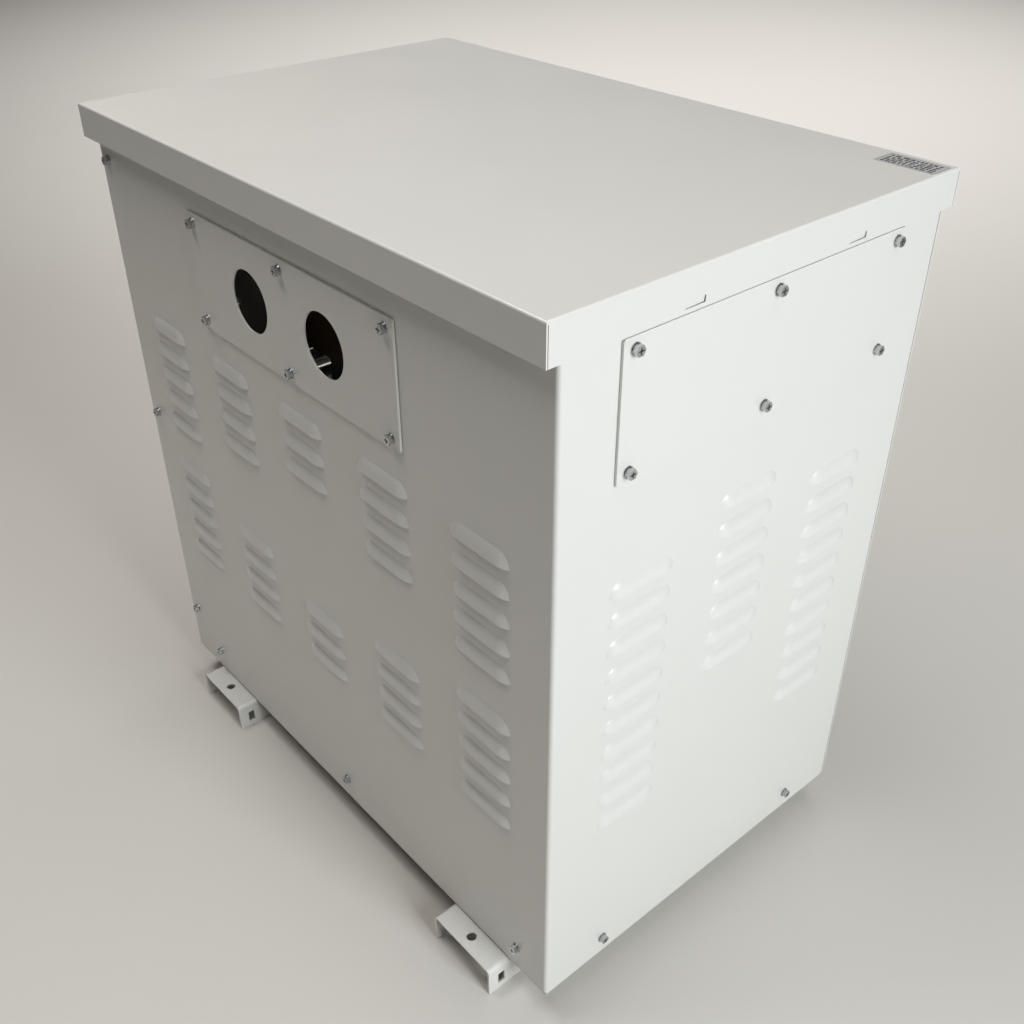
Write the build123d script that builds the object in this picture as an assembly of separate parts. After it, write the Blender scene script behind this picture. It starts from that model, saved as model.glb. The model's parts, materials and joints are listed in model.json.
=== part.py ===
from build123d import *
import os
from math import sqrt

# A dry-type transformer in a floor-standing ventilated sheet-metal enclosure. Millimetres.
# +X is to the right, -Y is the front (the side with the two cable holes), +Z is up.
# The origin is on the floor, at the middle of the enclosure.

# ---------------------------------------------------------------- driving dimensions
WIDTH = 800.0               # enclosure, along X
DEPTH = 510.0               # enclosure, along Y
ROOF_ABOVE_PANELS = 820.0   # from the bottom edge of the side panels to the top of the roof
SHEET = 1.5                 # enclosure panels and roof
BEND = 1.0                  # inside bend radius of thin sheet

FOOT_WIDTH = 102.0          # folded channel feet
FOOT_HEIGHT = 41.0
FOOT_SHEET = 2.5
FOOT_REACH = 29.0           # how far a foot stands out past the front and the rear
FOOT_OFFSET = 285.0         # from the middle to the centre line of each foot
FOOT_HOLE_R = 6.25          # floor fixing hole in the web of each foot, both ends
FOOT_HOLE_OUT = 13.0        # from the enclosure's face out to the floor fixing hole
FOOT_SLOT = (9.5, 17.0)     # window in each flange, width and height
FOOT_SLOT_OUT = 10.5        # from the enclosure's face out to the window
FOOT_SLOT_Z = 17.0
FOOT_BEND = 3.0

TRAY_SHEET = 2.0
TRAY_WALL = 52.0            # upturned edge of the base tray, measured from its underside
PANEL_REVEAL = 5.0          # the side panels end this far above the underside of the tray

ROOF_SKIRT = 38.0
ROOF_OVERHANG = 15.5        # front and rear
ROOF_SIDE_GAP = 0.6         # between the side panels and the roof's side skirts
ROOF_LIFT_GAP = 0.3         # between the shells' top flanges and the roof
TONGUE = (24.4, 6.5)        # lanced roof clips, length and height
TONGUE_PRESS = 0.9          # how far the clip's free corner is pressed in
TONGUE_SLITS = (0.7, 1.4)   # cuts along its lower edge and up its rear edge
TONGUE_Y = 110.0            # from the middle to each clip
TONGUE_ABOVE_SKIRT = 4.0    # from the skirt's lower edge to the clip

PLATE = (380.0, 135.0, 2.5)          # cable entry plate and blank plates
PLATE_WINDOW = (320.0, 88.0)         # cut-out behind each plate
PLATE_SCREWS = (177.0, 56.3)         # half spacing of the six screws
FRONT_PLATE_Z = 678.0                # centre above the bottom edge of the panels
SIDE_PLATE_Z = 714.0
CABLE_HOLE_R = 35.0
CABLE_HOLE_X = 70.0
GASKET = 0.5                         # foam tape, pressed flat
GASKET_INSET = 6.0                   # from the plate's edge to the tape

LOUVRE_LENGTH = 84.0
LOUVRE_RISE = 15.5          # height of a hood above its slit
LOUVRE_OUT = 5.0            # how far a hood stands out of the sheet
LOUVRE_SLIT = 0.5
LOUVRE_PITCH = 33.7         # between rows
FIRST_SLIT_Z = 559.0        # topmost slit above the bottom edge of the panels
FRONT_COLUMNS = 150.0       # between columns
SIDE_COLUMNS = 146.0
ROWS = 11                   # rows from the topmost slit to the lowest

CORNER_SCREW_X = 383.0
CORNER_SCREW_Z = (79.0, 417.0, 755.0)
BASE_SCREWS_FRONT = (-325.0, 13.0, 350.0)
BASE_SCREWS_SIDE = (-168.0, 165.0)
BASE_SCREW_Z = (31.0, 24.0)          # front and side, above the bottom edge of the panels

SCREW_R = 3.0               # M6 panel screws
SCREW_LENGTH = 16.0
SCREW_HOLE_R = 3.25
WASHER_R = 6.1
WASHER = 1.1
SPRING_WASHER = (5.2, 1.3)  # radius and thickness
HEAD_FLATS = 9.5
HEAD = 3.8
NUT_BODY_R = 4.5            # blind rivet nuts
NUT_BORE_R = 3.1
NUT_COLLAR_R = 6.0
NUT_LENGTH = 13.0
NUT_COLLAR = 2.5
BOLT_R = 5.0                # yoke, foot and core mounting bolts
BOLT_FLATS = 16.0
BOLT_HOLE_R = 5.5

LIMB = 90.0                 # core limb and yoke width
STACK = 100.0               # core stack depth
LIMB_PITCH = 200.0
WINDOW = 280.0              # core window height
CLAMP = (520.0, 40.0, 80.0)          # core clamp channels: length, flange, height
CLAMP_SHEET = 5.0
COIL_HEIGHT = 252.0
FORMER = 2.5
LV_BUILD = 16.0
DUCT = 8.0
HV_BUILD = 17.0
PAD = (56.0, 46.0, 12.0)
RAIL = (640.0, 50.0, 40.0)
RAIL_Y = 100.0
RAIL_SHEET = 4.0
BOARD = (520.0, 12.0, 84.0)          # terminal boards
BOARD_Y = 120.0                      # centre of the board's thickness
BOARD_Z = 632.0
STUD_R = 4.0

# ---------------------------------------------------------------- levels and faces
Z_TRAY = FOOT_HEIGHT
Z_FLOOR = Z_TRAY + TRAY_SHEET
Z_PANEL = Z_TRAY + PANEL_REVEAL
Z_ROOF = Z_PANEL + ROOF_ABOVE_PANELS
Z_SHELL = Z_ROOF - SHEET - ROOF_LIFT_GAP
Z_RAIL = Z_FLOOR + PAD[2]
Z_CLAMP = Z_RAIL + RAIL[2]
Z_CORE = Z_CLAMP + 4.0
Z_WINDOW = Z_CORE + LIMB
Z_CORE_TOP = Z_WINDOW + WINDOW + LIMB
Z_COIL = Z_WINDOW + (WINDOW - COIL_HEIGHT) / 2
HALF_W = WIDTH / 2
HALF_D = DEPTH / 2
PHASES = {"left": -LIMB_PITCH, "centre": 0.0, "right": LIMB_PITCH}
TURN = Rot(0, 0, 180)
FRONT_TO_SIDE = Rot(0, 0, 90)


# ---------------------------------------------------------------- helpers
def block(x, y, z):
    """A box from its lowest and highest value along each axis."""
    middle = [(low + high) / 2 for low, high in (x, y, z)]
    return Pos(*middle) * Box(x[1] - x[0], y[1] - y[0], z[1] - z[0])


def on_front(x, z, out=0.0):
    """A place on the front face, with its own Z pointing out of the face."""
    return Plane(origin=(x, -HALF_D - out, Z_PANEL + z), x_dir=(1, 0, 0), z_dir=(0, -1, 0))


def on_side(y, z, out=0.0):
    """The same on the right face."""
    return Plane(origin=(HALF_W + out, y, Z_PANEL + z), x_dir=(0, 1, 0), z_dir=(1, 0, 0))


def drill(place, radius, depth=12.0):
    return place * Cylinder(radius, 2 * depth)


def hexagon(across_flats, thickness):
    prism = extrude(RegularPolygon(across_flats / 2, 6, major_radius=False), thickness)
    cone_r = across_flats / sqrt(3) * 0.97
    rounding = Cone(cone_r + thickness, cone_r, thickness, align=(Align.CENTER, Align.CENTER, Align.MIN))
    return prism & rounding


def bar_profile(points, radii, thickness):
    """A folded strip's cross-section along its mid-line."""
    return trace(FilletPolyline(*points, radius=radii), thickness)


# ---------------------------------------------------------------- fasteners
def panel_screw():
    """Hex screw with a cross recess, a spring washer and a flat washer. Its origin is under the washers."""
    upward = (Align.CENTER, Align.CENTER, Align.MIN)
    spring_r, spring = SPRING_WASHER
    groove = 0.25
    screw = Cylinder(WASHER_R, WASHER, align=upward)
    core = Cylinder(spring_r - 2 * groove, WASHER + spring + 2 * groove, align=upward)
    ring = Pos(0, 0, WASHER + groove) * Cylinder(spring_r, spring - groove, align=upward)
    split = Rot(0, 0, 35) * Pos(0, spring_r, WASHER + spring / 2) * Rot(0, 30, 0) * Box(0.8, 1.6, 2 * spring)
    screw += core + (ring - split)
    under_head = WASHER + spring + groove
    screw += Pos(0, 0, under_head) * hexagon(HEAD_FLATS, HEAD)
    shank = Cylinder(SCREW_R, SCREW_LENGTH, align=(Align.CENTER, Align.CENTER, Align.MAX))
    screw += chamfer(shank.edges().sort_by(Axis.Z)[0], 0.6)
    recess = Box(6.4, 1.5, 4.0) + Box(1.5, 6.4, 4.0) + Cone(0.7, 2.4, 4.0)
    return screw - Pos(0, 0, under_head + HEAD) * recess


def rivet_nut():
    """Blind rivet nut, flush with the outside of its sheet at its origin."""
    downward = (Align.CENTER, Align.CENTER, Align.MAX)
    nut = Cylinder(NUT_BODY_R, NUT_LENGTH, align=downward)
    nut += Pos(0, 0, -TRAY_SHEET) * Cylinder(NUT_COLLAR_R, NUT_COLLAR, align=downward)
    return nut - Cylinder(NUT_BORE_R, 3 * NUT_LENGTH)


def bolt_with_nut(grip, spare):
    """A large hex bolt and its nut, clamping from z = 0 down to z = -grip."""
    downward = (Align.CENTER, Align.CENTER, Align.MAX)
    head_height = 1.3 * BOLT_R
    bolt = Cylinder(BOLT_R, grip + spare, align=downward)
    bolt += hexagon(BOLT_FLATS, head_height)
    nut = Pos(0, 0, -grip - head_height) * hexagon(BOLT_FLATS, head_height)
    nut -= Cylinder(BOLT_R, 4 * (grip + spare))
    return bolt, nut


# ---------------------------------------------------------------- louvres
def capsule(radius, straight):
    """A round bar with ball ends, lying along X."""
    half = straight / 2
    bar = Rot(0, 90, 0) * Cylinder(radius, straight)
    return bar + Pos(-half, 0, 0) * Sphere(radius) + Pos(half, 0, 0) * Sphere(radius)


def louvre_tools():
    """The bump and the hollow of one louvre on the front face, with its slit's middle at the origin."""
    radius = (LOUVRE_RISE**2 + LOUVRE_OUT**2) / (2 * LOUVRE_OUT)
    straight = LOUVRE_LENGTH - 2 * LOUVRE_RISE
    depth = Pos(0, radius - LOUVRE_OUT, 0)
    reach = LOUVRE_LENGTH
    outer = depth * capsule(radius, straight)
    inner = depth * capsule(radius - SHEET, straight)
    bump = outer & block((-reach, reach), (-2 * LOUVRE_OUT, SHEET / 2), (0, reach))
    hollow = inner & block((-reach, reach), (-2 * LOUVRE_OUT, SHEET + 1), (-LOUVRE_SLIT, reach))
    return bump, hollow


def louvre_places():
    """Where each louvre of one shell goes: five split columns in front, three on the side."""
    places = []
    for column, count in zip(range(-2, 3), (5, 4, 3, 4, 5)):
        for row in [*range(count), *range(ROWS - count, ROWS)]:
            z = Z_PANEL + FIRST_SLIT_Z - row * LOUVRE_PITCH
            places.append(Pos(column * FRONT_COLUMNS, -HALF_D, z))
    for column, rows in ((-1, range(1, ROWS)), (0, range(7)), (1, range(1, ROWS))):
        for row in rows:
            z = Z_PANEL + FIRST_SLIT_Z - row * LOUVRE_PITCH
            places.append(FRONT_TO_SIDE * Pos(column * SIDE_COLUMNS, -HALF_W, z))
    return places


# ---------------------------------------------------------------- enclosure
def plate_screw_places(face, z, out):
    half_x, half_z = PLATE_SCREWS
    return [face(x, z + dz, out) for x in (-half_x, 0, half_x) for dz in (-half_z, half_z)]


def base_screw_places(out=0.0):
    front = [on_front(x, BASE_SCREW_Z[0], out) for x in BASE_SCREWS_FRONT]
    side = [on_side(y, BASE_SCREW_Z[1], out) for y in BASE_SCREWS_SIDE]
    return front + side


def corner_shell():
    """Front and right panel folded from one sheet, with a screw flange at its rear end."""
    half_t = SHEET / 2
    front_y = -HALF_D + half_t
    side_x = HALF_W - half_t
    rear_y = HALF_D - SHEET - half_t
    flange = 26.0
    corners = [(-HALF_W, front_y), (side_x, front_y), (side_x, rear_y), (side_x - flange, rear_y)]
    profile = bar_profile(corners, [BEND + 2.0 + half_t, BEND + half_t], SHEET)
    shell = Pos(0, 0, Z_PANEL) * extrude(profile, Z_SHELL - Z_PANEL)
    inside_x = HALF_W - SHEET
    inside_y = HALF_D - SHEET
    room = block((side_x - 2 * flange, inside_x - BEND), (rear_y - 2, HALF_D), (0, Z_TRAY + TRAY_WALL + 3))
    head_room = block((side_x - 2 * flange, inside_x - BEND), (rear_y - 2, HALF_D), (Z_SHELL - 8, Z_ROOF))
    shell -= room + head_room
    top = (Z_SHELL - SHEET, Z_SHELL)
    lip = 16.0
    shell += block((-inside_x + 30, inside_x), (-inside_y - half_t, -inside_y + lip), top)
    shell += block((inside_x - lip, inside_x + half_t), (-inside_y, inside_y - 6), top)

    bump, hollow = louvre_tools()
    places = louvre_places()
    shell = shell.fuse(*[place * bump for place in places])
    shell = shell.cut(*[place * hollow for place in places])

    window_x, window_z = PLATE_WINDOW
    cuts = [on_front(0, FRONT_PLATE_Z) * Box(window_x, window_z, 10)]
    cuts.append(on_side(0, SIDE_PLATE_Z) * Box(window_x, window_z, 10))
    for face, z in ((on_front, FRONT_PLATE_Z), (on_side, SIDE_PLATE_Z)):
        cuts += [drill(place, NUT_BODY_R + 0.05) for place in plate_screw_places(face, z, 0)]
    cuts += [drill(place, SCREW_HOLE_R) for place in base_screw_places()]
    cuts += [drill(on_front(-CORNER_SCREW_X, z), SCREW_HOLE_R, 8) for z in CORNER_SCREW_Z]
    nut_hole = Cylinder(NUT_BODY_R + 0.05, 4)
    cuts += [TURN * (on_front(-CORNER_SCREW_X, z, -SHEET) * nut_hole) for z in CORNER_SCREW_Z]
    notch_z = (Z_ROOF - ROOF_SKIRT + 1.0, Z_ROOF)
    for y in (-TONGUE_Y, TONGUE_Y):
        half = TONGUE[0] / 2 + 3
        cuts.append(block((HALF_W - SHEET - lip - 1, HALF_W + 1), (y - half, y + half), notch_z))
    return shell.cut(*cuts)


def roof_cover():
    """Shallow lid with four folded skirts, an open seam at each corner, and lanced side clips."""
    out_x = HALF_W + ROOF_SIDE_GAP + SHEET
    out_y = HALF_D + ROOF_OVERHANG
    low = Z_ROOF - ROOF_SKIRT
    outer = block((-out_x, out_x), (-out_y, out_y), (low, Z_ROOF))
    outer = fillet(outer.faces().sort_by(Axis.Z)[-1].edges(), BEND + SHEET)
    inner = block((SHEET - out_x, out_x - SHEET), (SHEET - out_y, out_y - SHEET), (low - 1, Z_ROOF - SHEET))
    inner = fillet(inner.faces().sort_by(Axis.Z)[-1].edges(), BEND)
    roof = outer - inner
    seam = 0.7
    cuts = []
    for side in (-1, 1):
        skirt = sorted((side * (out_x - SHEET), side * (out_x + 1)))
        for end in (-1, 1):
            gap = sorted((end * (out_y - SHEET), end * (out_y - SHEET - seam)))
            cuts.append(block(skirt, gap, (low - 1, Z_ROOF - SHEET - BEND)))
    roof = roof.cut(*cuts)
    flap_hole, flap = roof_clip(out_x, low + TONGUE_ABOVE_SKIRT)
    for y in (-TONGUE_Y, TONGUE_Y):
        for side in (Pos(0, y, 0), TURN * Pos(0, y, 0)):
            roof -= side * flap_hole
            roof += side * flap
    return roof


def roof_clip(face_x, low):
    """A three-cornered flap, cut along its lower and rear edges and pressed in about its diagonal."""
    half = TONGUE[0] / 2
    high = low + TONGUE[1]
    lower_slit, rear_slit = TONGUE_SLITS
    overlap = 0.4
    rear = half + rear_slit
    hole_outline = Polyline((-half, low), (rear, low), (rear, high), (half, high), close=True)
    hole = extrude(Pos(face_x, 0, 0) * make_face(Plane.YZ * hole_outline), 3 * SHEET, both=True)
    hinge_low = Vector(face_x, -half - overlap, low + lower_slit)
    hinge_high = Vector(face_x, half, high + overlap)
    tip = Vector(face_x - TONGUE_PRESS, half, low + lower_slit)
    outline = Polyline(hinge_low, tip, hinge_high, close=True)
    inward = (tip - hinge_low).cross(hinge_high - hinge_low).normalized() * SHEET
    if inward.X > 0:
        inward = -inward
    flap = extrude(make_face(outline), SHEET, dir=inward)
    return hole, flap


def base_tray():
    """Folded floor tray. The shells screw to its upturned walls, and air comes in through its floor."""
    in_x = HALF_W - SHEET
    in_y = HALF_D - SHEET
    relief = 7.0
    tray = block((-in_x, in_x), (-in_y, in_y), (Z_TRAY, Z_FLOOR))
    high = Z_TRAY + TRAY_WALL
    for side in (-1, 1):
        across = sorted((side * in_y, side * (in_y - TRAY_SHEET)))
        tray += block((relief - in_x, in_x - relief), across, (Z_TRAY, high))
        across = sorted((side * in_x, side * (in_x - TRAY_SHEET)))
        tray += block(across, (relief - in_y, in_y - relief), (Z_TRAY, high))
    cuts = []
    for y, half in ((-180.0, 40.0), (0.0, 60.0), (180.0, 40.0)):
        window = Pos(0, y, Z_TRAY) * extrude(RectangleRounded(420, 2 * half, 12), 20, both=True)
        cuts.append(window)
    for place in base_screw_places(-SHEET):
        hole = drill(place, NUT_BODY_R + 0.05, 5)
        cuts += [hole, TURN * hole]
    bolts = foot_bolt_places() + core_bolt_places()
    cuts += [Pos(x, y, Z_TRAY) * Cylinder(BOLT_HOLE_R, 20) for x, y in bolts]
    cuts.append(Pos(EARTH_X, EARTH_Y, Z_TRAY) * Cylinder(STUD_R + 0.1, 20))
    return tray.cut(*cuts)


def foot_bolt_places():
    return [(x, y) for x in (-FOOT_OFFSET, FOOT_OFFSET) for y in (-205.0, 205.0)]


def core_bolt_places():
    return [(x, y) for x in (-FOOT_OFFSET, FOOT_OFFSET) for y in (-RAIL_Y, RAIL_Y)]


def foot_channel(centre_x):
    """Folded inverted channel running front to rear under the tray."""
    half = FOOT_WIDTH / 2 - FOOT_SHEET / 2
    top = FOOT_HEIGHT - FOOT_SHEET / 2
    outline = [(-half, 0), (-half, top), (half, top), (half, 0)]
    profile = Plane.XZ * bar_profile(outline, FOOT_BEND + FOOT_SHEET / 2, FOOT_SHEET)
    foot = extrude(profile, HALF_D + FOOT_REACH, both=True)
    window = extrude(Plane.YZ * RectangleRounded(*FOOT_SLOT, 1.0), FOOT_WIDTH, both=True)
    for side in (-1, 1):
        foot -= Pos(0, side * (HALF_D + FOOT_HOLE_OUT), FOOT_HEIGHT) * Cylinder(FOOT_HOLE_R, 20)
        foot -= Pos(0, side * (HALF_D + FOOT_SLOT_OUT), FOOT_SLOT_Z) * window
    foot = Pos(centre_x, 0, 0) * foot
    for x, y in foot_bolt_places() + core_bolt_places():
        foot -= Pos(x, y, FOOT_HEIGHT) * Cylinder(BOLT_HOLE_R, 20)
    return foot


def cover_plate(face, z, cable_holes=()):
    """A screwed plate over a window, and its gasket."""
    width, height, thick = PLATE
    middle = face(0, z, GASKET + thick / 2)
    plate = middle * extrude(RectangleRounded(width, height, 3), thick / 2, both=True)
    tape = RectangleRounded(width - 2 * GASKET_INSET, height - 2 * GASKET_INSET, 3)
    gasket = face(0, z, 0) * extrude(tape, GASKET)
    gasket -= face(0, z) * Box(*PLATE_WINDOW, 10)
    for place in plate_screw_places(face, z, 0):
        plate -= drill(place, SCREW_HOLE_R)
        gasket -= drill(place, SCREW_HOLE_R + 0.5)
    for x in cable_holes:
        plate -= drill(face(x, z), CABLE_HOLE_R)
    return plate, gasket


# ---------------------------------------------------------------- core and clamps
def yoke_bolt_places():
    return [(x, z) for x in (-150.0, 150.0) for z in (Z_CORE + LIMB / 2, Z_CORE_TOP - LIMB / 2)]


def core_pieces():
    """Two yokes and three limbs, each a stack of laminations."""
    half_width = LIMB_PITCH + LIMB / 2
    depth = (-STACK / 2, STACK / 2)
    lower = block((-half_width, half_width), depth, (Z_CORE, Z_WINDOW))
    upper = block((-half_width, half_width), depth, (Z_WINDOW + WINDOW, Z_CORE_TOP))
    pieces = {"core_lower_yoke": lower, "core_upper_yoke": upper}
    for x, z in yoke_bolt_places():
        name = "core_lower_yoke" if z < Z_WINDOW else "core_upper_yoke"
        pieces[name] -= Pos(x, 0, z) * Rot(90, 0, 0) * Cylinder(6.0, 2 * STACK)
    for name, x in PHASES.items():
        limb = block((x - LIMB / 2, x + LIMB / 2), depth, (Z_WINDOW, Z_WINDOW + WINDOW))
        pieces[f"core_{name}_limb"] = limb
    return pieces


def clamp_channel(side, low):
    """A folded channel that presses on one face of a yoke. side is -1 for the front one."""
    length, flange, height = CLAMP
    near = STACK / 2 + CLAMP_SHEET / 2
    far = STACK / 2 + flange
    bottom = low + CLAMP_SHEET / 2
    top = low + height - CLAMP_SHEET / 2
    outline = [(far, bottom), (near, bottom), (near, top), (far, top)]
    profile = Plane.YZ * bar_profile(outline, CLAMP_SHEET, CLAMP_SHEET)
    clamp = extrude(profile, length / 2, both=True)
    for x, z in yoke_bolt_places():
        if low < z < low + height:
            clamp -= Pos(x, near, z) * Rot(90, 0, 0) * Cylinder(BOLT_HOLE_R, 30)
    return clamp if side > 0 else mirror(clamp, Plane.XZ)


def mounting_rail(side):
    """Channel across both feet that carries the lower clamps."""
    length, width, height = RAIL
    half = width / 2 - RAIL_SHEET / 2
    low = Z_RAIL + RAIL_SHEET / 2
    high = Z_RAIL + height
    outline = [(-half, high), (-half, low), (half, low), (half, high)]
    profile = Plane.YZ * bar_profile(outline, 1.5 * RAIL_SHEET, RAIL_SHEET)
    rail = extrude(profile, length / 2, both=True)
    for x in (-FOOT_OFFSET, FOOT_OFFSET):
        rail -= Pos(x, 0, Z_RAIL) * Cylinder(BOLT_HOLE_R, 20)
    return Pos(0, side * RAIL_Y, 0) * rail


# ---------------------------------------------------------------- windings
def ring(inner, build, radius, low, height):
    """A rounded rectangular ring. inner is its inside width and depth, radius its inside corner."""
    width, depth = inner
    outer = RectangleRounded(width + 2 * build, depth + 2 * build, radius + build)
    return Pos(0, 0, low) * extrude(outer - RectangleRounded(width, depth, radius), height)


def winding_set(x):
    """One phase from the inside out: former, low-voltage winding, duct sticks, high-voltage winding."""
    inside = (LIMB + 4, STACK + 4)
    former = ring(inside, FORMER, 5, Z_COIL - 6, COIL_HEIGHT + 12)
    lv_inside = tuple(size + 2 * FORMER for size in inside)
    low_voltage = ring(lv_inside, LV_BUILD, 5 + FORMER, Z_COIL, COIL_HEIGHT)
    duct_inside = tuple(size + 2 * LV_BUILD for size in lv_inside)
    hv_inside = tuple(size + 2 * DUCT for size in duct_inside)
    hv_radius = 5 + FORMER + LV_BUILD + DUCT
    bands = 6
    band = COIL_HEIGHT / bands
    groove = 3.0
    high_voltage = ring(hv_inside, HV_BUILD - groove, hv_radius, Z_COIL, COIL_HEIGHT)
    for index in range(bands):
        low = Z_COIL + index * band + groove / 2
        high_voltage += ring(hv_inside, HV_BUILD, hv_radius, low, band - groove)
    sticks = []
    for across in (-36.0, -12.0, 12.0, 36.0):
        for side in (-1, 1):
            y = side * (duct_inside[1] + DUCT) / 2
            sticks.append(Pos(across, y, Z_COIL + COIL_HEIGHT / 2) * Box(DUCT, DUCT, COIL_HEIGHT))
            x_side = side * (duct_inside[0] + DUCT) / 2
            sticks.append(Pos(x_side, across, Z_COIL + COIL_HEIGHT / 2) * Box(DUCT, DUCT, COIL_HEIGHT))
    place = Pos(x, 0, 0)
    return place * former, place * low_voltage, [place * stick for stick in sticks], place * high_voltage


def support_blocks():
    """Insulating blocks between the clamps' flanges and the ends of the windings."""
    blocks = []
    low_gap = (Z_CLAMP + CLAMP[2], Z_COIL)
    high_gap = (Z_COIL + COIL_HEIGHT, Z_CORE_TOP + 4 - CLAMP[2])
    y_near = STACK / 2 + 5
    y_far = STACK / 2 + CLAMP[1]
    for x in PHASES.values():
        for offset in (-30.0, 30.0):
            for side in (-1, 1):
                across = sorted((side * y_near, side * y_far))
                for gap in (low_gap, high_gap):
                    blocks.append(block((x + offset - 14, x + offset + 14), across, gap))
    return blocks


# ---------------------------------------------------------------- terminals, leads and earth
EARTH_X = -60.0
EARTH_Y = -236.0
STRAP = (26.0, 2.0)


def terminal_x(count):
    pitch = LIMB_PITCH if count == 3 else LIMB_PITCH / 1.5
    return [(index - (count - 1) / 2) * pitch for index in range(count)]


def terminal_board(side, count):
    length, thick, height = BOARD
    board = Pos(0, side * BOARD_Y, BOARD_Z) * Box(length, thick, height)
    board = chamfer(board.edges().filter_by(Axis.Y), 6)
    for x in terminal_x(count):
        board -= Pos(x, side * BOARD_Y, BOARD_Z) * Rot(90, 0, 0) * Cylinder(STUD_R + 0.1, 3 * thick)
    for x in (-245.0, 245.0):
        board -= Pos(x, side * BOARD_Y, BOARD_Z - 24) * Rot(90, 0, 0) * Cylinder(3.2, 3 * thick)
    return board


def terminal_stud(side, x):
    """Threaded stud with a nut and washer on each side of the board."""
    outward = Plane(origin=(x, side * BOARD_Y, BOARD_Z), x_dir=(1, 0, 0), z_dir=(0, side, 0))
    half = BOARD[1] / 2
    lug = 3.0
    stud = Cylinder(STUD_R, 64)
    stud += Pos(0, 0, half + lug) * Cylinder(9, 1.6, align=(Align.CENTER, Align.CENTER, Align.MIN))
    stud += Pos(0, 0, half + lug + 1.6) * hexagon(13, 6.5)
    stud += Pos(0, 0, -half) * Cylinder(9, 1.6, align=(Align.CENTER, Align.CENTER, Align.MAX))
    stud += Pos(0, 0, -half - 1.6 - 6.5) * hexagon(13, 6.5)
    return outward * stud


def board_bracket(side, x):
    """Angle that stands on an upper clamp and carries one end of a terminal board."""
    inner_face = BOARD_Y - BOARD[1] / 2
    half_t = 1.5
    clamp_top = Z_CORE_TOP + 4
    outline = [(STACK / 2 + 6, clamp_top + half_t), (inner_face - half_t, clamp_top + half_t)]
    outline.append((inner_face - half_t, BOARD_Z + 10))
    profile = Plane.YZ * bar_profile(outline, 3.0, 2 * half_t)
    bracket = Pos(x, 0, 0) * extrude(profile, 15, both=True)
    bracket -= Pos(x, BOARD_Y, BOARD_Z - 24) * Rot(90, 0, 0) * Cylinder(3.2, 60)
    return bracket if side > 0 else mirror(bracket, Plane.XZ)


def input_lead(x):
    """Insulated round lead from a high-voltage winding to a front stud, with a crimped lug."""
    wire_r = 5.0
    face = -BOARD_Y - BOARD[1] / 2
    start_y = -(STACK / 2 + 2 + FORMER + LV_BUILD + DUCT + HV_BUILD)
    run_y = face - wire_r - 2
    start_z = Z_COIL + COIL_HEIGHT * 11 / 12
    end_z = BOARD_Z - 30
    path = FilletPolyline((x, start_y, start_z), (x, run_y, start_z), (x, run_y, end_z), radius=22)
    wire = sweep(Plane(origin=path @ 0, z_dir=path % 0) * Circle(wire_r), path=path)
    barrel = Pos(x, run_y, end_z) * Cylinder(wire_r + 2, 22)
    palm = block((x - 9, x + 9), (face - 3, face), (end_z, BOARD_Z + 11))
    lug = barrel + palm - drill(Plane(origin=(x, face, BOARD_Z), z_dir=(0, 1, 0)), STUD_R + 0.1)
    return wire + lug


def output_bar(x, stud_x):
    """Folded copper bar from a low-voltage winding out to a rear stud."""
    face = BOARD_Y + BOARD[1] / 2
    low = Z_COIL + COIL_HEIGHT
    half = 10.0
    bar = block((x - half, x + half), (STACK / 2 + 6, STACK / 2 + 18), (low, low + 9))
    bar += block((x - half, x + half), (STACK / 2 + 6, face + 3), (low + 9, low + 12))
    bar += block((x - half, x + half), (face, face + 3), (low + 9, BOARD_Z - 40))
    across = (min(x, stud_x) - half, max(x, stud_x) + half)
    bar += block(across, (face, face + 3), (BOARD_Z - 60, BOARD_Z - 40))
    bar += block((stud_x - half, stud_x + half), (face, face + 3), (BOARD_Z - 60, BOARD_Z + 12))
    return bar - Pos(stud_x, face, BOARD_Z) * Rot(90, 0, 0) * Cylinder(STUD_R + 0.1, 20)


def neutral_bar(stud_x):
    """Short star-point bar on the fourth rear stud."""
    face = BOARD_Y + BOARD[1] / 2
    bar = block((stud_x - 10, stud_x + 10), (face, face + 3), (BOARD_Z - 34, BOARD_Z + 34))
    return bar - Pos(stud_x, face, BOARD_Z) * Rot(90, 0, 0) * Cylinder(STUD_R + 0.1, 20)


def earth_strap():
    """Copper strap from the lower front clamp down to the earth stud on the tray."""
    width, thick = STRAP
    on_clamp = -STACK / 2 - CLAMP_SHEET - thick / 2
    over_rail = Z_CLAMP + CLAMP_SHEET + 8
    on_tray = Z_FLOOR + thick / 2
    down_y = -RAIL_Y - RAIL[1] / 2 - 18
    outline = [(on_clamp, Z_CLAMP + 60), (on_clamp, over_rail), (down_y, over_rail)]
    outline += [(down_y, on_tray), (EARTH_Y - 12, on_tray)]
    profile = Plane.YZ * bar_profile(outline, 5.0, thick)
    strap = Pos(EARTH_X, 0, 0) * extrude(profile, width / 2, both=True)
    return strap - Pos(EARTH_X, EARTH_Y, Z_FLOOR) * Cylinder(STUD_R + 0.1, 20)


def earth_stud():
    downward = (Align.CENTER, Align.CENTER, Align.MAX)
    stud = Pos(0, 0, 20) * Cylinder(STUD_R, 32, align=downward)
    stud += Pos(0, 0, STRAP[1]) * hexagon(13, 6.5)
    stud += Pos(0, 0, -TRAY_SHEET) * Cylinder(9, 4, align=downward)
    return Pos(EARTH_X, EARTH_Y, Z_FLOOR) * stud


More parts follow.
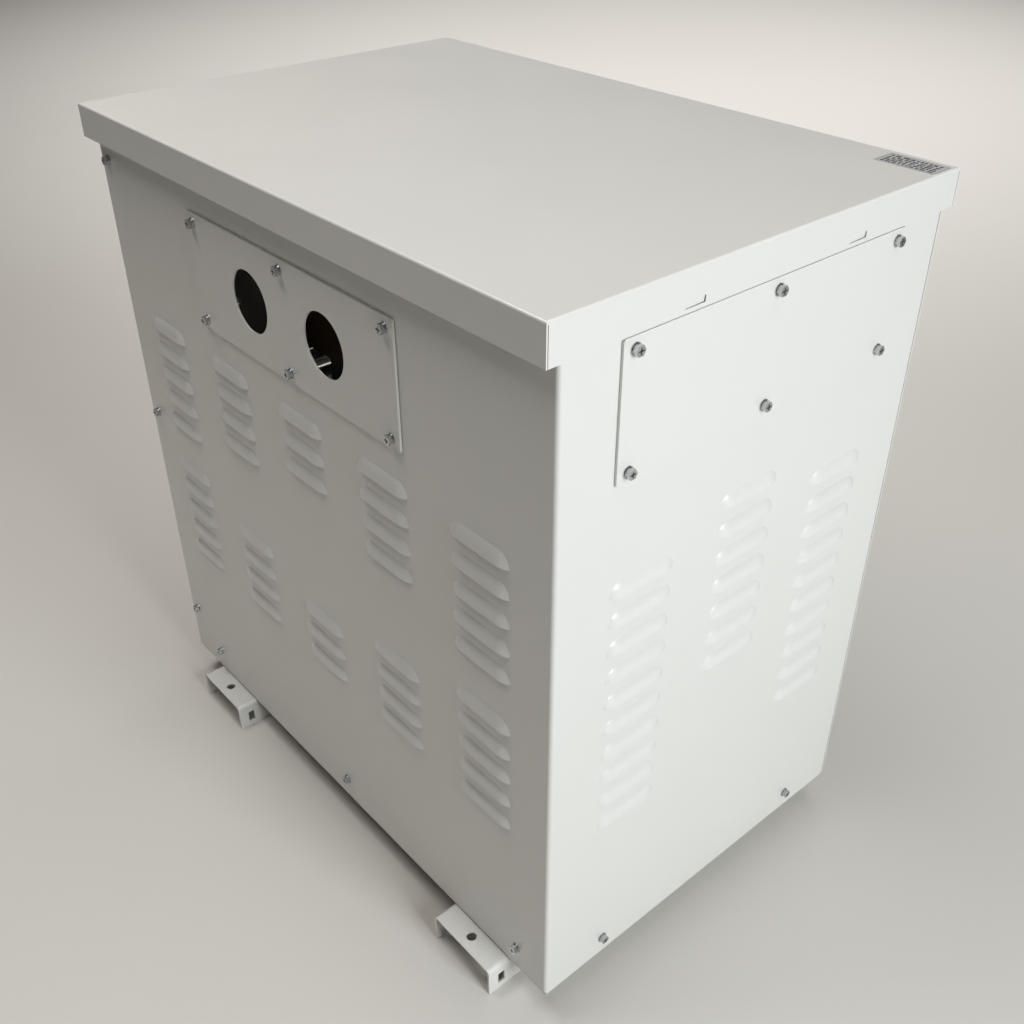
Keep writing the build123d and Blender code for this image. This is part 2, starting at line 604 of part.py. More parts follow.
def rating_label():
    """Blank foil label at the rear right corner of the roof."""
    corner_x = HALF_W + ROOF_SIDE_GAP + SHEET
    corner_y = HALF_D + ROOF_OVERHANG
    label = extrude(RectangleRounded(68, 33, 1.5), 0.3)
    return Pos(corner_x - 38.0, corner_y - 25.0, Z_ROOF) * label


# ---------------------------------------------------------------- the assembly
def both_ways(pieces):
    """Each piece, and its copy on the opposite side of the enclosure."""
    return list(pieces) + [TURN * piece for piece in pieces]


def enclosure_nodes():
    shell = corner_shell()
    nodes = {
        "front_right_shell": [shell],
        "rear_left_shell": [TURN * shell],
        "roof_cover": [roof_cover()],
        "rating_label": [rating_label()],
        "base_tray": [base_tray()],
        "left_foot_channel": [foot_channel(-FOOT_OFFSET)],
        "right_foot_channel": [foot_channel(FOOT_OFFSET)],
    }
    gland, gland_gasket = cover_plate(on_front, FRONT_PLATE_Z, (-CABLE_HOLE_X, CABLE_HOLE_X))
    front_blank, front_gasket = cover_plate(on_front, FRONT_PLATE_Z)
    side_blank, side_gasket = cover_plate(on_side, SIDE_PLATE_Z)
    screw = panel_screw()
    out = GASKET + PLATE[2]
    front_screws = [place * screw for place in plate_screw_places(on_front, FRONT_PLATE_Z, out)]
    side_screws = [place * screw for place in plate_screw_places(on_side, SIDE_PLATE_Z, out)]
    nodes["gland_plate"] = [gland]
    nodes["gland_plate_gasket"] = [gland_gasket]
    nodes["gland_plate_screws"] = front_screws
    nodes["rear_blank_plate"] = [TURN * front_blank]
    nodes["rear_plate_gasket"] = [TURN * front_gasket]
    nodes["rear_plate_screws"] = [TURN * piece for piece in front_screws]
    nodes["right_blank_plate"] = [side_blank]
    nodes["right_plate_gasket"] = [side_gasket]
    nodes["right_plate_screws"] = side_screws
    nodes["left_blank_plate"] = [TURN * side_blank]
    nodes["left_plate_gasket"] = [TURN * side_gasket]
    nodes["left_plate_screws"] = [TURN * piece for piece in side_screws]

    nut = rivet_nut()
    plate_nuts = [place * nut for place in plate_screw_places(on_front, FRONT_PLATE_Z, 0)]
    plate_nuts += [place * nut for place in plate_screw_places(on_side, SIDE_PLATE_Z, 0)]
    nodes["plate_rivet_nuts"] = both_ways(plate_nuts)
    corner_places = [on_front(-CORNER_SCREW_X, z) for z in CORNER_SCREW_Z]
    nodes["corner_screws"] = both_ways([place * screw for place in corner_places])
    nodes["base_screws"] = both_ways([place * screw for place in base_screw_places()])
    inner_places = [on_front(-CORNER_SCREW_X, z, -SHEET) for z in CORNER_SCREW_Z]
    inner_places += base_screw_places(-SHEET)
    nodes["panel_rivet_nuts"] = both_ways([place * nut for place in inner_places])

    return nodes


def bolt_nodes():
    """The large bolts, and their identical nuts together."""
    grip = STACK + 2 * CLAMP_SHEET
    yoke_bolt, yoke_nut = bolt_with_nut(grip, 14.0)
    clamp_face = Rot(90, 0, 0)
    yoke = [Pos(x, -grip / 2, z) * clamp_face for x, z in yoke_bolt_places()]
    foot_bolt, foot_nut = bolt_with_nut(TRAY_SHEET + FOOT_SHEET, 10.0)
    feet = [Pos(x, y, Z_FLOOR) for x, y in foot_bolt_places()]
    mount_bolt, mount_nut = bolt_with_nut(RAIL_SHEET + PAD[2] + TRAY_SHEET + FOOT_SHEET, 10.0)
    mounts = [Pos(x, y, Z_RAIL + RAIL_SHEET) for x, y in core_bolt_places()]
    nuts = [place * yoke_nut for place in yoke]
    nuts += [place * foot_nut for place in feet]
    nuts += [place * mount_nut for place in mounts]
    return {
        "yoke_bolts": [place * yoke_bolt for place in yoke],
        "foot_bolts": [place * foot_bolt for place in feet],
        "core_mount_bolts": [place * mount_bolt for place in mounts],
        "hex_nuts": nuts,
    }


def core_nodes():
    nodes = {name: [piece] for name, piece in core_pieces().items()}
    for side, word in ((-1, "front"), (1, "rear")):
        nodes[f"lower_{word}_clamp"] = [clamp_channel(side, Z_CLAMP)]
        nodes[f"upper_{word}_clamp"] = [clamp_channel(side, Z_CORE_TOP + 4 - CLAMP[2])]
        nodes[f"{word}_mounting_rail"] = [mounting_rail(side)]
    pad = Box(*PAD) - Cylinder(BOLT_HOLE_R, 20)
    pad_z = Z_FLOOR + PAD[2] / 2
    nodes["vibration_pads"] = [Pos(x, y, pad_z) * pad for x, y in core_bolt_places()]
    nodes["coil_support_blocks"] = support_blocks()
    for name, x in PHASES.items():
        former, low_voltage, sticks, high_voltage = winding_set(x)
        nodes[f"{name}_coil_former"] = [former]
        nodes[f"{name}_low_voltage_winding"] = [low_voltage]
        nodes[f"{name}_duct_spacers"] = sticks
        nodes[f"{name}_high_voltage_winding"] = [high_voltage]
    return nodes


def terminal_nodes():
    front_x = terminal_x(3)
    rear_x = terminal_x(4)
    nodes = {
        "input_terminal_board": [terminal_board(-1, 3)],
        "output_terminal_board": [terminal_board(1, 4)],
        "terminal_studs": [terminal_stud(-1, x) for x in front_x] + [terminal_stud(1, x) for x in rear_x],
        "terminal_board_brackets": [board_bracket(side, x) for side in (-1, 1) for x in (-245.0, 245.0)],
        "input_leads": [input_lead(x) for x in front_x],
        "earth_strap": [earth_strap()],
        "earth_stud": [earth_stud()],
    }
    bars = [output_bar(x, stud_x) for x, stud_x in zip(PHASES.values(), rear_x)]
    nodes["output_bars"] = bars + [neutral_bar(rear_x[-1])]
    return nodes


def write_nodes(nodes):
    os.makedirs("parts", exist_ok=True)
    for name, pieces in nodes.items():
        solids = [solid for piece in pieces for solid in piece.solids()]
        export_step(solids[0] if len(solids) == 1 else Compound(children=solids), f"parts/{name}.step")


write_nodes(enclosure_nodes())
write_nodes(core_nodes())
write_nodes(bolt_nodes())
write_nodes(terminal_nodes())
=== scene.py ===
import json
import random
from math import cos, pi, radians, sin

import bmesh
import bpy
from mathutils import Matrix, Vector

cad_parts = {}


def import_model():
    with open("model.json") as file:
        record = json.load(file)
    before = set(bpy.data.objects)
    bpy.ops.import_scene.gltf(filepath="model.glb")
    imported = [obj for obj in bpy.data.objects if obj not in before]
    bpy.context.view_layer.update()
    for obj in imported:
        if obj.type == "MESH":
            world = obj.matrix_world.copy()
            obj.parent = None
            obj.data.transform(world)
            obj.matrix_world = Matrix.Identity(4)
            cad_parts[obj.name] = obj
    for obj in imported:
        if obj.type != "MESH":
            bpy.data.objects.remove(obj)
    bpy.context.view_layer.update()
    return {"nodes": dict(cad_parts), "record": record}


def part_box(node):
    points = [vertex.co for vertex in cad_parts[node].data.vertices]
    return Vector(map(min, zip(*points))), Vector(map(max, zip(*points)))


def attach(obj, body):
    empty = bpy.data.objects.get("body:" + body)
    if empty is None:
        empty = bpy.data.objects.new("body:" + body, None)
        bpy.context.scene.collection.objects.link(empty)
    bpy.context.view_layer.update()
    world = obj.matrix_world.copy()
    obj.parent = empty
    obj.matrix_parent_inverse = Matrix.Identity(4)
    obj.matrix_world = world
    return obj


# A dry-type transformer in a powder-coated, louvred enclosure. Metres, in the frame of the CAD model.
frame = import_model()
nodes = frame["nodes"]
scene = bpy.context.scene

MM = 0.001

# ---------------------------------------------------------------- camera
CAMERA_PLACE = (0.9464, -0.7717, 1.2021)
CAMERA_TURN = (56.07, 0.18, 49.17)     # degrees about X, Y and Z
CAMERA_LENS = 39.84                    # on a sensor 36 mm wide

camera_data = bpy.data.cameras.new("camera")
camera_data.lens = CAMERA_LENS
camera_data.sensor_width = 36.0
camera_data.clip_end = 50.0
camera = bpy.data.objects.new("camera", camera_data)
camera.location = CAMERA_PLACE
camera.rotation_euler = [radians(angle) for angle in CAMERA_TURN]
scene.collection.objects.link(camera)
scene.camera = camera
scene.view_settings.view_transform = "Standard"


# ---------------------------------------------------------------- shader helpers
def new_material(name, base, metallic, roughness):
    """A material with its node tree, its Principled shader and object coordinates in metres."""
    material = bpy.data.materials.new(name)
    material.use_nodes = True
    tree = material.node_tree
    shader = tree.nodes["Principled BSDF"]
    shader.inputs["Base Color"].default_value = (*base, 1.0)
    shader.inputs["Metallic"].default_value = metallic
    shader.inputs["Roughness"].default_value = roughness
    material.diffuse_color = (*base, 1.0)
    place = tree.nodes.new("ShaderNodeTexCoord").outputs["Object"]
    return material, tree, shader, place


def stretch(tree, place, scale):
    """Object coordinates multiplied along each axis."""
    mapping = tree.nodes.new("ShaderNodeMapping")
    mapping.inputs["Scale"].default_value = scale
    tree.links.new(place, mapping.inputs["Vector"])
    return mapping.outputs["Vector"]


def noise(tree, place, scale, detail):
    """Cloudy noise from 0 to 1, with this many cells to the metre."""
    node = tree.nodes.new("ShaderNodeTexNoise")
    node.inputs["Scale"].default_value = scale
    node.inputs["Detail"].default_value = detail
    tree.links.new(place, node.inputs["Vector"])
    return node.outputs["Fac"]


def bands(tree, place, scale, axis, distortion=0.0, profile="SIN"):
    """Parallel bands across one axis, from 0 to 1."""
    node = tree.nodes.new("ShaderNodeTexWave")
    node.wave_type = "BANDS"
    node.bands_direction = axis
    node.wave_profile = profile
    node.inputs["Scale"].default_value = scale
    node.inputs["Distortion"].default_value = distortion
    tree.links.new(place, node.inputs["Vector"])
    return node.outputs["Fac"]


def ramp(tree, value, low, high, low_to=0.0, high_to=1.0):
    """A value stretched from one range to another."""
    node = tree.nodes.new("ShaderNodeMapRange")
    node.inputs["From Min"].default_value = low
    node.inputs["From Max"].default_value = high
    node.inputs["To Min"].default_value = low_to
    node.inputs["To Max"].default_value = high_to
    tree.links.new(value, node.inputs["Value"])
    return node.outputs["Result"]


# A Mix node's sockets when it mixes colours: its factor, its two colours and its result.
MIX_FACTOR, MIX_FIRST, MIX_SECOND = 0, 6, 7
MIX_RESULT = 2


def blend_colour(tree, factor, first, second):
    """A mix of two colours, each a tuple or another node's output."""
    node = tree.nodes.new("ShaderNodeMix")
    node.data_type = "RGBA"
    tree.links.new(factor, node.inputs[MIX_FACTOR])
    for socket, colour in ((node.inputs[MIX_FIRST], first), (node.inputs[MIX_SECOND], second)):
        if isinstance(colour, tuple):
            socket.default_value = (*colour, 1.0)
        else:
            tree.links.new(colour, socket)
    return node.outputs[MIX_RESULT]


def colour_by(tree, shader, factor, first, second):
    """Sets the base colour to a mix of two colours."""
    tree.links.new(blend_colour(tree, factor, first, second), shader.inputs["Base Color"])


def add_bump(tree, shader, heights):
    """Bumps in metres, given as (height output, depth) pairs, the last one on top."""
    normal = None
    for height, depth in heights:
        bump = tree.nodes.new("ShaderNodeBump")
        bump.inputs["Strength"].default_value = 1.0
        bump.inputs["Distance"].default_value = depth
        tree.links.new(height, bump.inputs["Height"])
        if normal is not None:
            tree.links.new(normal, bump.inputs["Normal"])
        normal = bump.outputs["Normal"]
    tree.links.new(normal, shader.inputs["Normal"])


def shade(colour, factor):
    """A colour made darker or lighter."""
    return tuple(channel * factor for channel in colour)


# ---------------------------------------------------------------- materials
IVORY = (0.73, 0.715, 0.68)


def powder_coat(name, colour=IVORY):
    """Satin powder coat: orange peel at about 3 mm and faint, broad mottling under a thin gloss."""
    rough = 0.36
    peel_scale = 330.0
    peel_depth = 0.07 * MM
    material, tree, shader, place = new_material(name, colour, 0.0, rough)
    mottle = noise(tree, place, 6.0, 2.0)
    colour_by(tree, shader, mottle, shade(colour, 0.985), shade(colour, 1.015))
    haze = noise(tree, place, 9.0, 2.0)
    tree.links.new(ramp(tree, haze, 0.3, 0.7, rough - 0.02, rough + 0.03), shader.inputs["Roughness"])
    add_bump(tree, shader, [(noise(tree, place, peel_scale, 1.0), peel_depth)])
    shader.inputs["Coat Weight"].default_value = 0.5
    shader.inputs["Coat Roughness"].default_value = 0.14
    return material


def plated_metal(name, colour, rough, tint=(0.80, 0.78, 0.66)):
    """Zinc plate or turned metal: patchy sheen, fine turning marks."""
    material, tree, shader, place = new_material(name, colour, 1.0, rough)
    patch = noise(tree, place, 120.0, 4.0)
    factor = ramp(tree, patch, 0.4, 0.75, 0.0, 0.5)
    colour_by(tree, shader, factor, colour, tint)
    tree.links.new(ramp(tree, noise(tree, place, 900.0, 3.0), 0.3, 0.7, rough - 0.08, rough + 0.12),
                   shader.inputs["Roughness"])
    add_bump(tree, shader, [(noise(tree, place, 2400.0, 2.0), 0.01 * MM)])
    return material


def foam_rubber(name, colour, cell=900.0):
    """Rubber with fine pores."""
    material, tree, shader, place = new_material(name, colour, 0.0, 0.8)
    pores = noise(tree, place, cell, 3.0)
    colour_by(tree, shader, pores, shade(colour, 0.6), shade(colour, 1.6))
    add_bump(tree, shader, [(pores, 0.2 * MM)])
    return material


def laminated_steel():
    """Varnished core: the edges of the laminations run across the stack."""
    dark = (0.085, 0.09, 0.10)
    material, tree, shader, place = new_material("core_laminations", dark, 0.75, 0.42)
    sheets = bands(tree, place, 260.0, "Y", 0.6)
    rust = ramp(tree, noise(tree, place, 30.0, 5.0), 0.55, 0.8)
    tone = blend_colour(tree, sheets, shade(dark, 0.55), shade(dark, 1.9))
    colour_by(tree, shader, rust, tone, (0.15, 0.10, 0.07))
    add_bump(tree, shader, [(sheets, 0.12 * MM)])
    return material


def black_enamel():
    """Dark enamel on the core clamps, mounting rails and terminal board brackets."""
    base = (0.022, 0.024, 0.028)
    material, tree, shader, place = new_material("black_enamel", base, 0.0, 0.35)
    patch = noise(tree, place, 22.0, 5.0)
    colour_by(tree, shader, patch, base, shade(base, 2.2))
    add_bump(tree, shader, [(noise(tree, place, 420.0, 2.0), 0.06 * MM)])
    return material


def wound_tape():
    """High-voltage coil: varnished tape, wrapped turn over turn."""
    base = (0.33, 0.17, 0.055)
    material, tree, shader, place = new_material("varnished_tape", base, 0.0, 0.28)
    turns = bands(tree, place, 26.0, "Z", 1.0, "SAW")
    weave = noise(tree, stretch(tree, place, (1.0, 1.0, 3.0)), 700.0, 2.0)
    stain = noise(tree, place, 12.0, 5.0)
    tone = blend_colour(tree, stain, shade(base, 0.6), shade(base, 1.35))
    edge = ramp(tree, turns, 0.0, 0.12, 0.55, 0.0)
    colour_by(tree, shader, edge, tone, shade(base, 0.35))
    add_bump(tree, shader, [(turns, 0.5 * MM), (weave, 0.1 * MM)])
    shader.inputs["Coat Weight"].default_value = 0.5
    shader.inputs["Coat Roughness"].default_value = 0.2
    return material


def enamelled_copper():
    """Low-voltage coil: enamelled wire, turn over turn."""
    base = (0.62, 0.26, 0.11)
    material, tree, shader, place = new_material("enamelled_copper", base, 0.85, 0.3)
    turns = bands(tree, place, 130.0, "Z")
    colour_by(tree, shader, turns, shade(base, 0.45), base)
    add_bump(tree, shader, [(turns, 0.4 * MM)])
    return material


def glass_board():
    """Woven glass-fibre board of the coil formers, duct spacers and support blocks."""
    base = (0.52, 0.50, 0.30)
    material, tree, shader, place = new_material("glass_fibre_board", base, 0.0, 0.45)
    weave_x = bands(tree, place, 330.0, "X")
    weave_z = bands(tree, place, 330.0, "Z")
    cloud = noise(tree, place, 40.0, 4.0)
    colour_by(tree, shader, cloud, shade(base, 0.8), shade(base, 1.15))
    add_bump(tree, shader, [(weave_x, 0.04 * MM), (weave_z, 0.04 * MM)])
    return material


def phenolic():
    """Brown laminate of the terminal boards, grained along X."""
    base = (0.12, 0.045, 0.02)
    material, tree, shader, place = new_material("phenolic_board", base, 0.0, 0.3)
    grain = noise(tree, stretch(tree, place, (1.0, 6.0, 6.0)), 60.0, 5.0)
    colour_by(tree, shader, grain, shade(base, 0.6), shade(base, 1.7))
    add_bump(tree, shader, [(grain, 0.05 * MM)])
    return material


def braided_sleeve():
    """Red braid over the input leads."""
    base = (0.42, 0.03, 0.02)
    material, tree, shader, place = new_material("braided_sleeve", base, 0.0, 0.5)
    braid = bands(tree, place, 300.0, "DIAGONAL")
    colour_by(tree, shader, braid, shade(base, 0.55), shade(base, 1.3))
    add_bump(tree, shader, [(braid, 0.3 * MM)])
    return material


def bare_copper():
    """Drawn copper bar, streaked along its length and dulled in patches."""
    base = (0.72, 0.34, 0.18)
    material, tree, shader, place = new_material("bare_copper", base, 1.0, 0.3)
    streaks = noise(tree, stretch(tree, place, (1.0, 1.0, 0.1)), 300.0, 4.0)
    bloom = noise(tree, place, 35.0, 4.0)
    colour_by(tree, shader, bloom, base, (0.45, 0.20, 0.12))
    tree.links.new(ramp(tree, streaks, 0.3, 0.7, 0.2, 0.42), shader.inputs["Roughness"])
    add_bump(tree, shader, [(streaks, 0.03 * MM)])
    return material


def label_foil():
    """Brushed foil of the rating label."""
    base = (0.64, 0.645, 0.635)
    material, tree, shader, place = new_material("label_foil", base, 0.25, 0.38)
    brushed = noise(tree, stretch(tree, place, (1.0, 30.0, 1.0)), 120.0, 3.0)
    colour_by(tree, shader, brushed, shade(base, 0.9), shade(base, 1.06))
    add_bump(tree, shader, [(brushed, 0.02 * MM)])
    return material


def label_ink():
    """Ink of the plain bars on the rating label."""
    base = (0.05, 0.05, 0.055)
    material, tree, shader, place = new_material("label_ink", base, 0.0, 0.5)
    patch = noise(tree, place, 900.0, 3.0)
    colour_by(tree, shader, patch, shade(base, 0.6), shade(base, 2.4))
    return material


def glass_tape():
    """Woven tape tied round the windings."""
    base = (0.62, 0.50, 0.30)
    material, tree, shader, place = new_material("glass_tape", base, 0.0, 0.55)
    weave = bands(tree, place, 420.0, "Z")
    cross = bands(tree, place, 420.0, "X")
    stain = noise(tree, place, 25.0, 4.0)
    colour_by(tree, shader, stain, shade(base, 0.72), shade(base, 1.15))
    add_bump(tree, shader, [(weave, 0.12 * MM), (cross, 0.1 * MM)])
    return material


def shrink_sleeve():
    """Black sleeve shrunk over the ends of the input leads."""
    base = (0.018, 0.018, 0.02)
    material, tree, shader, place = new_material("shrink_sleeve", base, 0.0, 0.42)
    ripple = noise(tree, stretch(tree, place, (1.0, 1.0, 4.0)), 160.0, 3.0)
    colour_by(tree, shader, ripple, base, shade(base, 2.5))
    add_bump(tree, shader, [(ripple, 0.1 * MM)])
    return material


IVORY_COAT = powder_coat("ivory_powder_coat")
MATERIALS = {
    "powder_coat": IVORY_COAT,
    "roof_coat": IVORY_COAT,
    "foot_coat": IVORY_COAT,
    "tray_zinc": powder_coat("tray_powder_coat", shade(IVORY, 0.9)),
    "zinc_screw": plated_metal("zinc_plate", (0.60, 0.62, 0.63), 0.18, (0.36, 0.38, 0.39)),
    "rivet_steel": plated_metal("rivet_nut_plate", (0.55, 0.56, 0.55), 0.34),
    "gasket_rubber": foam_rubber("gasket_foam", (0.16, 0.16, 0.155)),
    "pad_rubber": foam_rubber("pad_rubber", (0.02, 0.02, 0.02), 300.0),
    "label_foil": label_foil(),
    "core_steel": laminated_steel(),
    "clamp_paint": black_enamel(),
    "glass_board": glass_board(),
    "copper_winding": enamelled_copper(),
    "varnished_wrap": wound_tape(),
    "phenolic": phenolic(),
    "brass_stud": plated_metal("turned_brass", (0.72, 0.52, 0.22), 0.25, (0.62, 0.42, 0.18)),
    "lead_sleeve": braided_sleeve(),
    "copper_bar": bare_copper(),
}
LABEL_INK = label_ink()
GLASS_TAPE = glass_tape()
SHRINK_SLEEVE = shrink_sleeve()


def dress_cad_nodes():
    """Gives every CAD node the material of its slot."""
    for entry in frame["record"]["subparts"]:
        node = nodes[entry["node"]]
        node.data.materials.clear()
        node.data.materials.append(MATERIALS[entry["material_slot"]])


dress_cad_nodes()


# ---------------------------------------------------------------- pieces built as meshes
def finish_piece(name, shape, material, body):
    """Turns a bmesh into a piece that rides on a body."""
    bmesh.ops.recalc_face_normals(shape, faces=shape.faces)
    mesh = bpy.data.meshes.new(name)
    shape.to_mesh(mesh)
    shape.free()
    mesh.materials.append(material)
    piece = bpy.data.objects.new(name, mesh)
    scene.collection.objects.link(piece)
    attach(piece, body)


def add_bar(shape, low, high, radius):
    """A flat bar with rounded corners, lying between two corners in X and Y."""
    steps = 4
    corners = ((high.x, high.y), (low.x, high.y), (low.x, low.y), (high.x, low.y))
    outline = []
    for quarter, (x, y) in enumerate(corners):
        centre_x = x + (radius if x == low.x else -radius)
        centre_y = y + (radius if y == low.y else -radius)
        for step in range(steps + 1):
            angle = (quarter + step / steps) * pi / 2
            outline.append((centre_x + radius * cos(angle), centre_y + radius * sin(angle)))
    bottom = [shape.verts.new((x, y, low.z)) for x, y in outline]
    top = [shape.verts.new((x, y, high.z)) for x, y in outline]
    shape.faces.new(bottom[::-1])
    shape.faces.new(top)
    count = len(outline)
    for index in range(count):
        after = (index + 1) % count
        shape.faces.new((bottom[index], bottom[after], top[after], top[index]))


def label_print():
    """Rows of plain bars and a thin frame on the rating label, with no lettering."""
    low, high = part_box("rating_label")
    bottom = high.z - 0.02 * MM
    top = high.z + 0.08 * MM
    line = 0.5 * MM
    line_corner = 0.1 * MM
    bar_corner = 0.3 * MM
    margin = 1.6 * MM
    shape = bmesh.new()
    left, right = low.x + margin, high.x - margin
    near, far = low.y + margin, high.y - margin
    frame_bars = (((left, near), (right, near + line)),
                  ((left, far - line), (right, far)),
                  ((left, near + line), (left + line, far - line)),
                  ((right - line, near + line), (right, far - line)))
    for (x_low, y_low), (x_high, y_high) in frame_bars:
        corner_low = Vector((x_low, y_low, bottom))
        corner_high = Vector((x_high, y_high, top))
        add_bar(shape, corner_low, corner_high, line_corner)

    rows = 5
    bar_share, title_share = 0.62, 0.85     # of a row's pitch that its bars fill; the title is the last row
    length_range = (2.4, 8.0)
    gap_range = (1.0, 2.6)
    lengths = random.Random(7)
    pitch = (far - near - 3 * margin) / rows
    row_end = right - 2 * margin
    for row in range(rows):
        y_low = near + 1.5 * margin + row * pitch
        height = pitch * (bar_share if row < rows - 1 else title_share)
        x = left + 2 * margin
        while x < right - 4 * margin:
            length = min(lengths.uniform(*length_range) * MM, row_end - x)
            corner_low = Vector((x, y_low, bottom))
            corner_high = Vector((x + length, y_low + height, top))
            add_bar(shape, corner_low, corner_high, bar_corner)
            x += length + lengths.uniform(*gap_range) * MM
    finish_piece("rating_label_bars", shape, LABEL_INK, "roof")


WINDING_BUILD = 17 * MM        # thickness of a high-voltage winding, from its bore to its outside
TAPE = (12 * MM, 0.7 * MM)     # width and thickness
TIE_SPACING = 24 * MM          # from a side's middle to each of its two ties


def add_tape(shape, middle, outward, low, high, seed):
    """A tape tied round one side of a winding: out, over the end, down the duct and back."""
    width, thick = TAPE
    corner = 2.5 * MM
    gap = 0.05 * MM
    uneven = 0.5
    across = Vector((-outward.y, outward.x, 0.0))
    centre_z = (low + high) / 2
    straight_x = WINDING_BUILD / 2 - corner
    straight_z = (high - low) / 2 - corner
    steps = 5
    line = []
    for quarter, (side, end) in enumerate(((1, 1), (-1, 1), (-1, -1), (1, -1))):
        centre = Vector((side * straight_x, end * straight_z))
        for step in range(steps + 1):
            angle = (quarter + step / steps) * pi / 2
            away = Vector((cos(angle), sin(angle)))
            line.append((centre + away * corner, away))
    wander = random.Random(seed)
    rings = []
    for point, away in line:
        shift = wander.uniform(-uneven, uneven) * MM
        ring = []
        for edge, depth in ((-1, 0.0), (-1, thick), (1, thick), (1, 0.0)):
            flat = point + away * (depth + gap)
            place = middle + outward * flat.x + across * (edge * width / 2 + shift)
            ring.append(shape.verts.new((place.x, place.y, centre_z + flat.y)))
        rings.append(ring)
    join_rings(shape, rings)


def join_rings(shape, rings):
    """Skins a closed run of rings that all have the same number of points."""
    for index, ring in enumerate(rings):
        after = rings[(index + 1) % len(rings)]
        for point in range(len(ring)):
            beside = (point + 1) % len(ring)
            shape.faces.new((ring[point], after[point], after[beside], ring[beside]))


def winding_ties(phase):
    """Two ties on each of the four sides of one phase's high-voltage winding."""
    low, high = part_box(phase + "_high_voltage_winding")
    centre = (low + high) / 2
    shape = bmesh.new()
    half_x, half_y = high.x - centre.x, high.y - centre.y
    sides = (((0, 1), half_y), ((0, -1), half_y), ((1, 0), half_x), ((-1, 0), half_x))
    for index, ((x, y), reach) in enumerate(sides):
        outward = Vector((x, y, 0.0))
        across = Vector((-y, x, 0.0))
        side_middle = Vector((centre.x, centre.y, 0.0)) + outward * (reach - WINDING_BUILD / 2)
        for place in (-1, 1):
            middle = side_middle + across * (place * TIE_SPACING)
            add_tape(shape, middle, outward, low.z, high.z, 10 * index + place)
    finish_piece(phase + "_winding_ties", shape, GLASS_TAPE, "enclosure")


def add_lathe(shape, x, y, profile):
    """A turned shape about a vertical axis. The profile is a closed list of (radius, height)."""
    segments = 28
    rings = []
    for step in range(segments):
        angle = 2 * pi * step / segments
        side_x, side_y = cos(angle), sin(angle)
        rings.append([shape.verts.new((x + radius * side_x, y + radius * side_y, z))
                      for radius, z in profile])
    join_rings(shape, rings)


# Radius and height of a shrink sleeve's section in millimetres, its height measured from its top.
SLEEVE_SECTION = ((4.9, -30.0), (5.5, -30.0), (5.8, -28.0), (5.7, -12.0), (6.3, -6.0), (6.5, 0.0), (4.9, 0.0))
WIRE_TO_BOARD = 7 * MM         # from a lead's centre line to the face of the terminal board
WIRE_TO_LUG_SIDE = 9 * MM      # from an outer lead's centre line to the outer side of its lug


def lead_sleeves():
    """Shrunk sleeves over the wires, just under their lugs."""
    low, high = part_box("input_leads")
    board_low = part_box("input_terminal_board")[0]
    wire_y = board_low.y - WIRE_TO_BOARD
    top = board_low.z + 0.5 * MM
    profile = [(radius * MM, top + height * MM) for radius, height in SLEEVE_SECTION]
    shape = bmesh.new()
    middle = (low.x + high.x) / 2
    reach = (high.x - low.x) / 2 - WIRE_TO_LUG_SIDE
    for x in (middle - reach, middle, middle + reach):
        add_lathe(shape, x, wire_y, profile)
    finish_piece("lead_shrink_sleeves", shape, SHRINK_SLEEVE, "enclosure")


label_print()
for phase in ("left", "centre", "right"):
    winding_ties(phase)
lead_sleeves()


# ---------------------------------------------------------------- floor and light
FLOOR_SIZE = 30.0
FLOOR_COLOUR = (0.68, 0.65, 0.605)
FLOOR_CLOUDS = ((0.67, 0.64, 0.595), (0.69, 0.66, 0.615))


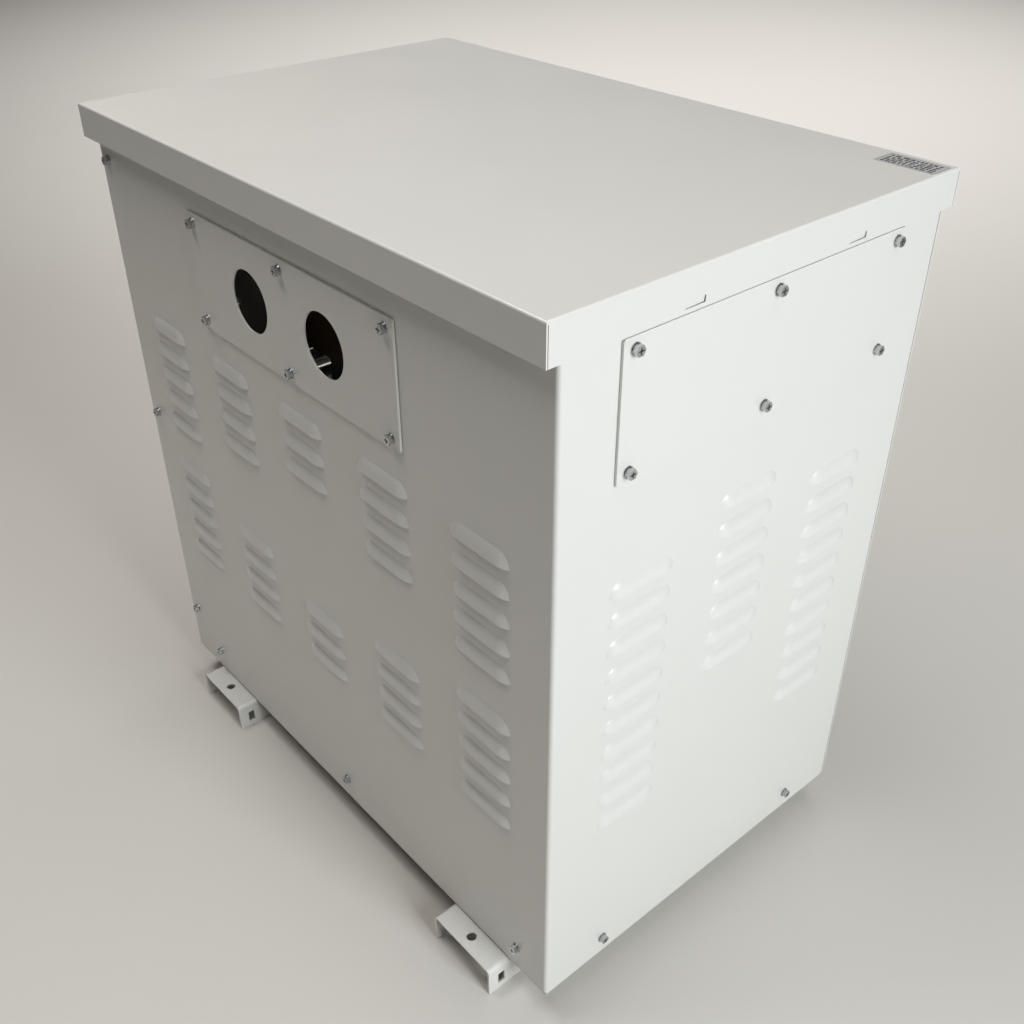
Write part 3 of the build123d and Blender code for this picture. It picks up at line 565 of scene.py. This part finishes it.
def floor():
    """A plain pale floor."""
    mesh = bpy.data.meshes.new("floor")
    half = FLOOR_SIZE / 2
    corners = [(-half, -half, 0), (half, -half, 0), (half, half, 0), (-half, half, 0)]
    mesh.from_pydata(corners, [], [(0, 1, 2, 3)])
    piece = bpy.data.objects.new("floor", mesh)
    scene.collection.objects.link(piece)
    material, tree, shader, place = new_material("pale_floor", FLOOR_COLOUR, 0.0, 0.6)
    colour_by(tree, shader, noise(tree, place, 1.5, 4.0), *FLOOR_CLOUDS)
    mesh.materials.append(material)


def place_light(name, data, place, target):
    """Puts a light in the scene, turned to its target."""
    light = bpy.data.objects.new(name, data)
    light.location = place
    aim = Vector(target) - Vector(place)
    light.rotation_euler = aim.to_track_quat("-Z", "Y").to_euler()
    scene.collection.objects.link(light)


def soft_light(name, place, target, size, power, colour):
    """A rectangular lamp: its size in metres, its power in watts."""
    data = bpy.data.lights.new(name, "AREA")
    data.shape = "RECTANGLE"
    data.size, data.size_y = size
    data.energy = power
    data.color = colour
    place_light(name, data, place, target)


def floor_spot(name, place, target, angle, power):
    """A soft spot on the floor behind the object."""
    data = bpy.data.lights.new(name, "SPOT")
    data.spot_size = radians(angle)
    data.spot_blend = 1.0
    data.shadow_soft_size = 0.8
    data.energy = power
    place_light(name, data, place, target)


def world(colour, strength):
    """Dim, even surroundings."""
    scene.world = bpy.data.worlds.new("studio")
    scene.world.use_nodes = True
    background = scene.world.node_tree.nodes["Background"]
    background.inputs["Color"].default_value = (*colour, 1.0)
    background.inputs["Strength"].default_value = strength


floor()
world((1.0, 0.985, 0.96), 0.03)
soft_light("key", (3.3, -0.1, 1.7), (0.0, 0.0, 0.45), (1.2, 2.0), 100.0, (0.90, 0.96, 1.0))
soft_light("ceiling", (0.2, 0.4, 3.6), (0.1, 0.2, 0.8), (3.0, 2.4), 41.0, (1.0, 0.985, 0.955))
soft_light("front_ceiling", (-0.7, -0.64, 2.5), (-0.2, -0.3, 0.3), (1.6, 0.45), 23.0, (1.0, 0.98, 0.94))
floor_spot("floor_spot", (-1.5, 3.0, 7.5), (-3.3, 3.6, 0.0), 70.0, 2600.0)
